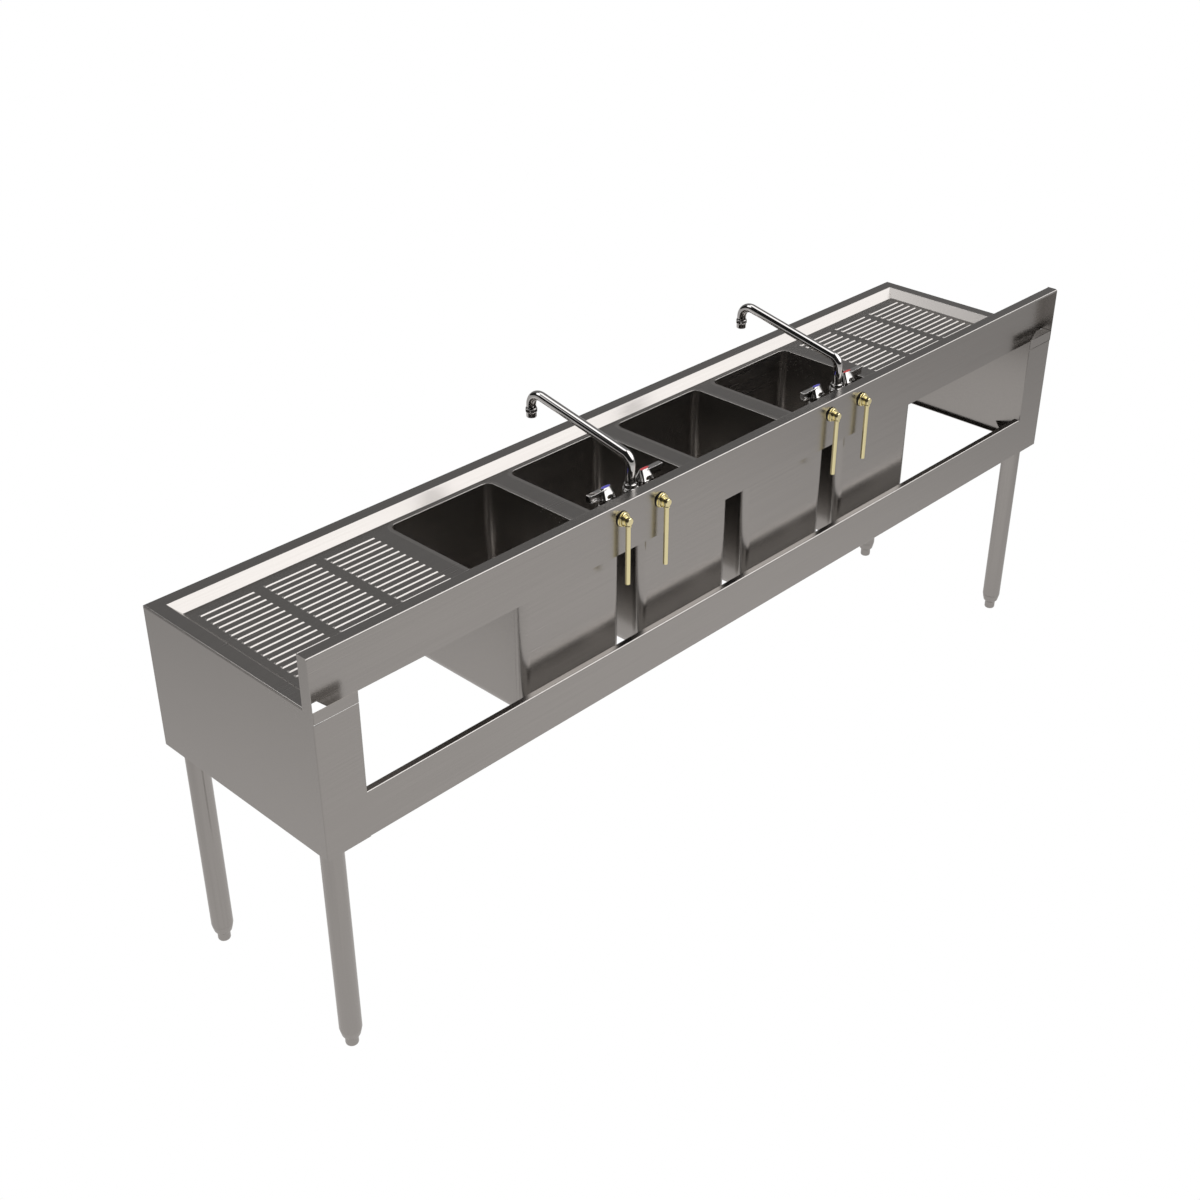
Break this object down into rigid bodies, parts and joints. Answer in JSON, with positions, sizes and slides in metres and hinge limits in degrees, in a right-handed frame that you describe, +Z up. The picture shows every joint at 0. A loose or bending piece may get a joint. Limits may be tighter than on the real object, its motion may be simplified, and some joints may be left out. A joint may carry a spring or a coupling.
{
  "type": "underbar sink",
  "caption": "Freestanding stainless underbar sink with deep bowls, ribbed drainboards, a rear splash, swing-spout faucets with lever handles and adjustable bullet feet.",
  "frame": {"origin": "on the floor, under the middle of the sink's plan", "axes": "+X along the length, to the right of a person at the front; +Y to the splash at the rear; +Z up"},
  "size_m": [2.1336, 0.461, 0.9486],
  "materials": {
    "stainless_sheet": "brushed",
    "bowl_steel": "brushed",
    "leg_steel": "brushed",
    "foot_steel": "satin",
    "drain_steel": "polished",
    "chrome": "polished",
    "brass": "polished",
    "rubber": "matte",
    "index_blue": "gloss",
    "index_red": "gloss"
  },
  "bodies": {
    "sink": {"rim_front": "stainless_sheet", "rim_right": "stainless_sheet", "rim_left": "stainless_sheet", "drainboard_right": "stainless_sheet", "drainboard_left": "stainless_sheet", "bowl_deck": "stainless_sheet", "backsplash": "stainless_sheet", "end_panel_right": "stainless_sheet", "end_panel_left": "stainless_sheet", "corner_strips": "stainless_sheet", "rear_rail": "stainless_sheet", "front_apron": "stainless_sheet", "leg_gussets": "stainless_sheet", "bowl_1": "bowl_steel", "bowl_2": "bowl_steel", "bowl_3": "bowl_steel", "bowl_4": "bowl_steel", "leg_front_right": "leg_steel", "leg_rear_right": "leg_steel", "leg_front_left": "leg_steel", "leg_rear_left": "leg_steel", "leg_set_screws": "leg_steel", "drain_body_1": "drain_steel", "drain_body_2": "drain_steel", "drain_body_3": "drain_steel", "drain_body_4": "drain_steel", "drain_tailpiece_1": "chrome", "drain_tailpiece_2": "chrome", "drain_tailpiece_3": "chrome", "drain_tailpiece_4": "chrome", "drain_locknuts": "chrome", "drain_gaskets": "rubber", "shank_washers": "rubber", "faucet_body_left": "chrome", "spout_nut_left": "chrome", "faucet_body_right": "chrome", "spout_nut_right": "chrome", "shank_locknuts": "brass", "supply_elbows": "brass", "supply_tubes": "brass"},
    "spout_left": {"faucet_spout_left": "chrome", "aerator_left": "chrome"},
    "hot_handle_left": {"handle_hot_left": "chrome", "index_hot_left": "index_red", "valve_stem_hot_left": "brass"},
    "cold_handle_left": {"handle_cold_left": "chrome", "index_cold_left": "index_blue", "valve_stem_cold_left": "brass"},
    "spout_right": {"faucet_spout_right": "chrome", "aerator_right": "chrome"},
    "hot_handle_right": {"handle_hot_right": "chrome", "index_hot_right": "index_red", "valve_stem_hot_right": "brass"},
    "cold_handle_right": {"handle_cold_right": "chrome", "index_cold_right": "index_blue", "valve_stem_cold_right": "brass"},
    "adjustable_foot_front_right": {"foot_front_right": "foot_steel"},
    "adjustable_foot_rear_right": {"foot_rear_right": "foot_steel"},
    "adjustable_foot_front_left": {"foot_front_left": "foot_steel"},
    "adjustable_foot_rear_left": {"foot_rear_left": "foot_steel"}
  },
  "joints": [
    {"name": "spout_swivel_left", "type": "hinge", "parent": "sink", "child": "spout_left", "pos_m": [-0.3048, 0.179, 0.85], "axis": [0, 0, 1], "range_deg": [-90, 90]},
    {"name": "hot_valve_left", "type": "hinge", "parent": "sink", "child": "hot_handle_left", "pos_m": [-0.3556, 0.166, 0.84], "axis": [0, 0, 1], "range_deg": [0, 90]},
    {"name": "cold_valve_left", "type": "hinge", "parent": "sink", "child": "cold_handle_left", "pos_m": [-0.254, 0.166, 0.84], "axis": [0, 0, 1], "range_deg": [-90, 0]},
    {"name": "spout_swivel_right", "type": "hinge", "parent": "sink", "child": "spout_right", "pos_m": [0.3048, 0.179, 0.85], "axis": [0, 0, 1], "range_deg": [-90, 90]},
    {"name": "hot_valve_right", "type": "hinge", "parent": "sink", "child": "hot_handle_right", "pos_m": [0.254, 0.166, 0.84], "axis": [0, 0, 1], "range_deg": [0, 90]},
    {"name": "cold_valve_right", "type": "hinge", "parent": "sink", "child": "cold_handle_right", "pos_m": [0.3556, 0.166, 0.84], "axis": [0, 0, 1], "range_deg": [-90, 0]},
    {"name": "foot_screw_front_right", "type": "slide", "parent": "sink", "child": "adjustable_foot_front_right", "axis": [0, 0, -1], "range_m": [0, 0.025]},
    {"name": "foot_screw_rear_right", "type": "slide", "parent": "sink", "child": "adjustable_foot_rear_right", "axis": [0, 0, -1], "range_m": [0, 0.025]},
    {"name": "foot_screw_front_left", "type": "slide", "parent": "sink", "child": "adjustable_foot_front_left", "axis": [0, 0, -1], "range_m": [0, 0.025]},
    {"name": "foot_screw_rear_left", "type": "slide", "parent": "sink", "child": "adjustable_foot_rear_left", "axis": [0, 0, -1], "range_m": [0, 0.025]}
  ]
}
